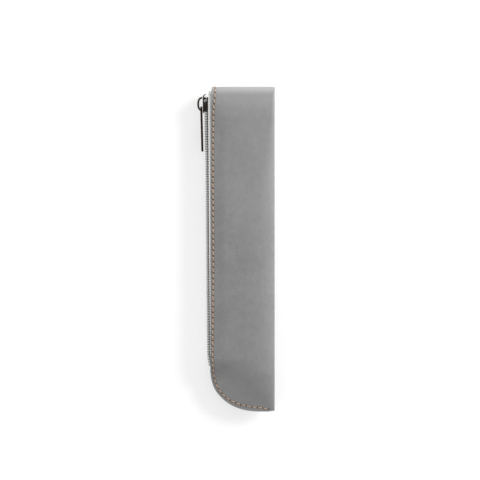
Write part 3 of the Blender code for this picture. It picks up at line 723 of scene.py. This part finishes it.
tape = {
    "thick": 0.00045, "rows": 200, "webColumns": 7, "legColumns": 9,
    "edge": 0.00035,          # from the middle of the zip to the tape's edge
    "inset": 0.00018,         # how far behind the coil's foot the tape lies, but for its end
    "insetEnd": -0.066, "insetTaper": 0.012,
    "bend": ((0.0001, 0.4), (0.0004, 0.7)),    # steps in, and up in thicknesses of the tape
    "legStep": 0.0011,        # from the web to the leg that lies along the leather
    "reach": 0.0098, "legTaper": 0.004,
    "turn": 0.0013, "turnAngles": (15, 30, 45, 60, 75, 85),    # its top end turns in
    "turnStep": 0.0003,
    "light": (0.94, 0.94, 0.925), "dark": (0.80, 0.80, 0.79),
    "ribs": 2600.0, "warps": 2100.0,           # threads to a metre of tape
    "fuzz": 2500.0, "relief": 0.00010,
}


def chainDip(y):
    return chain["dip"] * np.clip(1 - (y - chain["zipEnd"]) / chain["bend"], 0.0, None) ** 2


def chainX(y):
    return case["left"] - chain["proudEnd"] + chain["slope"] * (y - chain["zipEnd"]) + chainDip(y)


def rowSpread(y):
    return chain["spreadSlope"] * np.maximum(0.0, y - chain["sliderY"] - chain["spreadStart"])


def zipTape(name, side):
    # a web under the coil, a bend, and a leg along the inside of its panel
    thick, webCount = tape["thick"], tape["webColumns"]
    turnStart = chain["sliderTop"] + case["gap"] / 2
    y = np.linspace(chain["zipEnd"], turnStart, tape["rows"] + 1)
    inset = tape["inset"] * smooth((y - tape["insetEnd"]) / tape["insetTaper"])
    webX = chainX(y) + inset + thick / 2
    legX = webX + tape["legStep"]
    depth = case["wall"] + case["gap"] + thick / 2
    web = belowPanel(webX, y, depth) - thick
    edge = tape["edge"] + rowSpread(y)
    columns = [(webX, edge + (web - edge) * t) for t in np.linspace(0, 1, webCount)]
    columns += [(webX + step, web + share * thick) for step, share in tape["bend"]]
    legTop = case["foldY"] - case["wall"] / 2
    if side < 0:
        legTop = case["foldY"] - case["flapLength"] - case["gap"]
    end = case["left"] + tape["reach"]
    end = legX + (end - legX) * (1 - smooth((y - legTop) / tape["legTaper"] + 1))
    for t in np.linspace(0, 1, tape["legColumns"]):
        x = legX + (end - legX) * t
        columns.append((x, belowPanel(x, y, depth)))
    columnX, columnW = np.array(columns).transpose(1, 0, 2)
    grid = surface(columnX, y, side * columnW)
    # the tape's top end is turned in behind the web
    turn = np.radians(np.array(tape["turnAngles"]))
    top = grid[:webCount, -1]
    curl = surface(webX[-1] + tape["turn"] * (1 - np.cos(turn)),
                   turnStart + tape["turn"] * np.sin(turn), top[:, 2:3])
    curl = np.concatenate((top[:, None], curl), axis=1)
    points = np.concatenate((grid.reshape(-1, 3), curl.reshape(-1, 3))) + (0, 0, case["middle"])
    faces = np.concatenate((gridFaces(1, *grid.shape[:2])[0],
                            gridFaces(1, *curl.shape[:2])[0] + columnX.size))
    if side < 0:
        faces = faces[:, ::-1]
    # its map: the way across the tape, and the way along it
    across = np.cumsum(
        np.linalg.norm(np.diff(grid, axis=0, prepend=grid[:1]), axis=2), axis=0)
    along = turnStart + np.arange(curl.shape[1]) * tape["turnStep"]
    uv = [np.stack(np.broadcast_arrays(*pair), axis=-1).reshape(-1, 2)
          for pair in ((across, y), (across[:webCount, -1:], along))]
    return newPiece(name, points, faces.tolist(), uv=np.concatenate(uv)[faces.ravel()])


def wovenTape(name):
    # fine weft ribs across the tape and warp threads along it
    paint = Paint(name, Specular_IOR_Level=0.2, Sheen_Weight=0.35, Sheen_Roughness=0.5)
    across, down = paint.uv("weave")
    weft = (down * tape["ribs"]).wave() * 0.5 + 0.5
    warp = (across * tape["warps"]).wave() * 0.5 + 0.5
    over = (weft * 0.6 + warp * 0.4).between(0.1, 0.8)
    fuzz = paint.noise(paint.place(), tape["fuzz"], 3.0, 0.6)
    tone = (over * 0.7 + fuzz * 0.3 + 0.12).between(0.0, 1.0)
    paint.colour(tone.blend(tape["dark"], tape["light"]))
    paint.roughness(0.72 + fuzz * 0.12)
    paint.bump(over + fuzz * 0.4, tape["relief"], 0.7)
    return paint.material


tapeCloth = wovenTape("tapeCloth")
for name, side, node in (("frontTape", 1, "zip_tape_front"), ("backTape", -1, "zip_tape_back")):
    piece = zipTape(name, side)
    piece.data.materials.append(tapeCloth)
    addModifier(piece, "SOLIDIFY", thickness=tape["thick"], offset=0.0, use_even_offset=True)
    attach(piece, "case")
    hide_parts(node)
    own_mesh(piece)
print("stage: tapes done")

# ---- zip coils ----

coil = {
    "samples": 16, "sides": 6, "endRoom": 0.0004,
    "outLow": 0.00030, "outHigh": 0.00225,     # the coil's foot and head, out from the tape
    "boxPower": 0.45, "headPower": 0.8,        # below 1, a turn is squarer than an ellipse
    "stepAt": 0.76, "stepLength": 0.36,        # where a turn moves on to the next
    "wireWide": 1.25, "spineWide": 0.22, "headSlim": 0.05, "headLength": 0.07,
    "light": (0.93, 0.93, 0.92), "dark": (0.74, 0.74, 0.73), "shade": (0.16, 0.16, 0.165),
    "cloud": 700.0, "streaks": (900, 4200, 900), "relief": 0.00003,
    # strength of the painted shade on the strand along the tape, on the heads and on the flanks
    "lowPaintedShade": 0.22, "headPaintedShade": 0.44, "flankPaintedShade": 0.06, "mostPaintedShade": 0.9,
}


def fromChain(out, along, wide):
    # points given out from the tape, up the chain from the slider and across it
    turn = math.atan(chain["slope"])
    x = -out * math.cos(turn) + along * math.sin(turn) + chainX(chain["sliderY"])
    y = out * math.sin(turn) + along * math.cos(turn) + chain["sliderY"]
    return surface(x + chainDip(y), y, wide + case["middle"])


def chainEnds(room):
    # both ends of the zip, up the chain from the slider
    return (chain["zipEnd"] - chain["sliderY"] + room, chain["zipTop"] - chain["sliderY"] - room)


def coilRow(name, side, phase):
    # flattened spiral: each turn is a rounded box across the chain, level on its outer side, and
    # it moves on by one pitch on the side against the tape
    start, stop = chainEnds(coil["endRoom"])
    turns = int((stop - start) / chain["pitch"] - phase)
    t = np.arange(turns * coil["samples"] + 1) / coil["samples"]
    angle = 2 * math.pi * (t % 1.0)
    wire = chain["wire"] / 2
    farW, nearW = chain["spine"] - wire, -chain["overlap"] + wire
    high, low = coil["outHigh"] - wire, coil["outLow"] + wire
    cosA, sinA = np.cos(angle), np.sin(angle)
    boxed = np.sign(cosA) * np.abs(cosA) ** coil["boxPower"]
    wide = (farW + nearW) / 2 + (farW - nearW) / 2 * boxed
    domed = np.sign(sinA) * np.abs(sinA) ** coil["headPower"]
    out = (high + low) / 2 + (high - low) / 2 * domed
    step = np.floor(t) + smooth((t % 1.0 - coil["stepAt"]) / coil["stepLength"] + 0.5)
    along = start + chain["pitch"] * (phase + step)
    centres = fromChain(out, along, side * (wide + rowSpread(chain["sliderY"] + along)))
    path = unit(np.gradient(centres, axis=0))
    lengthwise = unit(np.array((0.0, 1.0, 0.0)) - path * path[:, 1:2])
    other = np.cross(path, lengthwise)
    head = np.exp(-((t % 1.0 - 0.5) / coil["headLength"]) ** 2)
    spine = np.clip(cosA, 0, 1)
    wideR = wire * (coil["wireWide"] + coil["spineWide"] * spine - coil["headSlim"] * head)
    return strandPiece(name, centres[None], lengthwise[None], other[None], wideR[None],
                       np.full((1, len(t)), wire), coil["sides"], turns)


sewing = {
    "out": 0.00300,           # from the middle of the zip, across it
    "width": 0.00050, "tall": 0.00086,         # tall enough to reach down to the tape
    "foot": 0.00022, "arch": 0.00006, "slant": 0.00006,
    "share": 0.37,            # half a stitch's length, in pitches of the coil
    "rings": 7, "sides": 8, "endRoom": 0.0003, "archPower": 3, "endPower": 6, "endShare": 0.15,
    # nearly black: a real sewing thread, painted dark enough to stand in also for the shade in the
    # groove between coil and tape
    "light": (0.110, 0.110, 0.113), "dark": (0.026, 0.026, 0.028), "turns": 4.0,
}


def coilSewing(name, side):
    # short stitches beside the coil that hold it on the tape
    s = sewing
    start, stop = chainEnds(s["endRoom"])
    count = int((stop - start) / chain["pitch"])
    centre = start + chain["pitch"] * (np.arange(count) + 0.5)
    t = np.linspace(-1, 1, s["rings"])
    along = centre[:, None] + t * chain["pitch"] * s["share"]
    out = s["foot"] + s["arch"] * (1 - np.abs(t) ** s["archPower"])
    wide = s["out"] + s["slant"] * t + rowSpread(chain["sliderY"] + along)
    centres = fromChain(out, along, side * wide)
    path = unit(np.gradient(centres, axis=1))
    up = unit(np.array((-1.0, 0.0, 0.0)) + path * path[..., :1])
    slim = drawnIn(t, s["endPower"], s["endShare"])
    wideR = np.broadcast_to(s["width"] / 2 * slim, along.shape)
    tallR = np.broadcast_to(s["tall"] / 2 * slim, along.shape)
    return strandPiece(name, centres, np.cross(path, up), up, wideR, tallR, s["sides"], 1.0)


def nylonWire(name):
    paint = Paint(name, Specular_IOR_Level=0.5, Coat_Weight=0.15, Coat_Roughness=0.25)
    where = paint.place()
    cloud = paint.noise(where, coil["cloud"], 3.0, 0.6)
    streak = paint.noise(paint.stretched(where, coil["streaks"]), 1.0)
    tone = (cloud * 0.55 + streak * 0.45).between(0.3, 0.62)
    # painted shade where the turns hide each other: on the strand that lies on the tape, on the
    # heads and on the flanks of each turn
    turn, around = paint.uv("weave")
    low = turn.wave().between(0.0, -0.8)
    head = turn.wave("COSINE").between(-0.5, -0.95)
    flank = around.wave("COSINE").apply("ABSOLUTE").between(0.45, 1.0)
    paintedCoilShade = low * coil["lowPaintedShade"] + head * coil["headPaintedShade"] + flank * coil["flankPaintedShade"]
    paintedCoilShade = paintedCoilShade.apply("MINIMUM", coil["mostPaintedShade"])
    paint.colour(paintedCoilShade.blend(tone.blend(coil["dark"], coil["light"]), coil["shade"]))
    paint.roughness(0.34 + streak * 0.18)
    paint.bump(streak, coil["relief"], 0.5)
    return paint.material


nylon = nylonWire("nylonWire")
# the sewing thread also carries painted shade of the groove beside the coil
darkSewingWithGrooveShade = twistedThread("darkSewingWithGrooveShade", sewing["light"], sewing["dark"], sewing["turns"])
for name, side, phase, node in (
    ("frontCoil", 1, 0.0, "coil_row_front"), ("backCoil", -1, 0.5, "coil_row_back"),
):
    piece = coilRow(name, side, phase)
    piece.data.materials.append(nylon)
    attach(piece, "case")
    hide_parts(node)
    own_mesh(piece)
for name, side, node in (
    ("frontCoilSewing", 1, "coil_thread_front"), ("backCoilSewing", -1, "coil_thread_back"),
):
    piece = coilSewing(name, side)
    piece.data.materials.append(darkSewingWithGrooveShade)
    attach(piece, "case")
    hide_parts(node)
    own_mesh(piece)
print("stage: coils done")

# ---- slider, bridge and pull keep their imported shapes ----

brass = {
    "dark": (0.016, 0.012, 0.009), "worn": (0.13, 0.10, 0.068),
    # the colour of each piece, and how worn its corners are
    "slider": ((0.036, 0.029, 0.021), 0.8),
    "bridge": ((0.10, 0.085, 0.06), 1.0),
    "pull": ((0.056, 0.033, 0.020), 0.7),
    "tarnish": 500.0, "specks": 2600.0, "scratches": (6000, 500, 6000), "relief": 0.00003,
    "corner": (0.53, 0.62),   # how pointed a corner is where bare metal starts and is full
}


def agedBrass(name, body, wear):
    # darkened brass: cloudy tarnish, small scratches, and bare metal on the corners
    paint = Paint(name, Metallic=0.85, Specular_IOR_Level=0.5)
    where = paint.place()
    cloud = paint.noise(where, brass["tarnish"], 4.0, 0.65)
    speck = paint.noise(where, brass["specks"], 3.0, 0.6)
    scratch = paint.noise(paint.stretched(where, brass["scratches"]), 1.0)
    corner = paint.node("ShaderNodeNewGeometry", out="Pointiness")
    rubbed = corner.between(*brass["corner"]) * wear * (0.35 + speck * 0.9)
    shade = cloud.between(0.32, 0.66).blend(brass["dark"], body)
    paint.colour(rubbed.between(0.1, 0.9).blend(shade, brass["worn"]))
    paint.roughness(0.30 + cloud * 0.22 + scratch * 0.10)
    paint.bump(speck * 0.6 + scratch * 0.5, brass["relief"], 0.6)
    return paint.material


for node, finish in (
    ("slider_body", agedBrass("sliderBrass", *brass["slider"])),
    ("slider_bridge", agedBrass("bridgeBrass", *brass["bridge"])),
    ("pull_tab", agedBrass("pullBrass", *brass["pull"])),
):
    mesh = nodes[node].data
    for k in range(len(mesh.materials)):
        mesh.materials[k] = finish
print("stage: metal finished")

# ---- floor, light and camera ----

studio = {
    "world": 0.46,
    # the floor: half its width, its grey where it is seen and where it only throws light back,
    # and the glow that lifts it to white where it is seen
    "floorHalf": 3, "floorSeen": 0.55, "floorBounce": 0.80, "lift": 0.50,
    "cameraX": -0.00157, "cameraY": 0.00561, "distance": 1.643, "lens": 200, "sensor": 36,
    "clip": (0.01, 20),
    # each lamp: where it stands, its width and height, and its power
    "lamps": {
        "keyLight": ((0.82, 0.44, 0.42), (0.50, 0.50), 12.3),
        "topLight": ((0.05, 0.85, 0.10), (0.80, 0.14), 4.4),
        "fillLight": ((-0.80, -0.30, 0.48), (0.70, 0.70), 4.6),
    },
}

half = studio["floorHalf"]
corners = [(-half, -half, 0), (half, -half, 0), (half, half, 0), (-half, half, 0)]
floorMesh = bpy.data.meshes.new("floor")
floorMesh.from_pydata(corners, [], [(0, 1, 2, 3)])
floor = bpy.data.objects.new("floor", floorMesh)
bpy.context.scene.collection.objects.link(floor)
floorPaint = Paint("paleFloor", Roughness=0.9, Specular_IOR_Level=0.0)
path = floorPaint.node("ShaderNodeLightPath", out="Is Camera Ray")
gloss = Flow(floorPaint, path.socket.node.outputs["Is Glossy Ray"])
seen = (path + gloss).apply("MINIMUM", 1.0)
floorPaint.colour(seen.blend((studio["floorBounce"],) * 3, (studio["floorSeen"],) * 3))
floorPaint.feed(floorPaint.shader.inputs["Emission Color"], seen.blend((0.0,) * 3, (1.0,) * 3))
floorPaint.shader.inputs["Emission Strength"].default_value = studio["lift"]
floorMesh.materials.append(floorPaint.material)

world = bpy.data.worlds.new("studio")
bpy.context.scene.world = world
world.use_nodes = True
background = world.node_tree.nodes["Background"]
background.inputs["Color"].default_value = (1.0, 1.0, 1.0, 1.0)
background.inputs["Strength"].default_value = studio["world"]

for name, (spot, size, power) in studio["lamps"].items():
    light = bpy.data.lights.new(name, "AREA")
    light.shape = "RECTANGLE"
    light.size, light.size_y = size
    light.energy = power
    lamp = bpy.data.objects.new(name, light)
    lamp.location = Vector(spot)
    lamp.rotation_euler = (-lamp.location).to_track_quat("-Z", "Y").to_euler()
    bpy.context.scene.collection.objects.link(lamp)

lens = bpy.data.cameras.new("camera")
lens.lens = studio["lens"]
lens.sensor_width = studio["sensor"]
lens.clip_start, lens.clip_end = studio["clip"]
camera = bpy.data.objects.new("camera", lens)
camera.location = (studio["cameraX"], studio["cameraY"], case["middle"] + studio["distance"])
bpy.context.scene.collection.objects.link(camera)
bpy.context.scene.camera = camera
bpy.context.scene.view_settings.view_transform = "Standard"
print("stage: studio done")
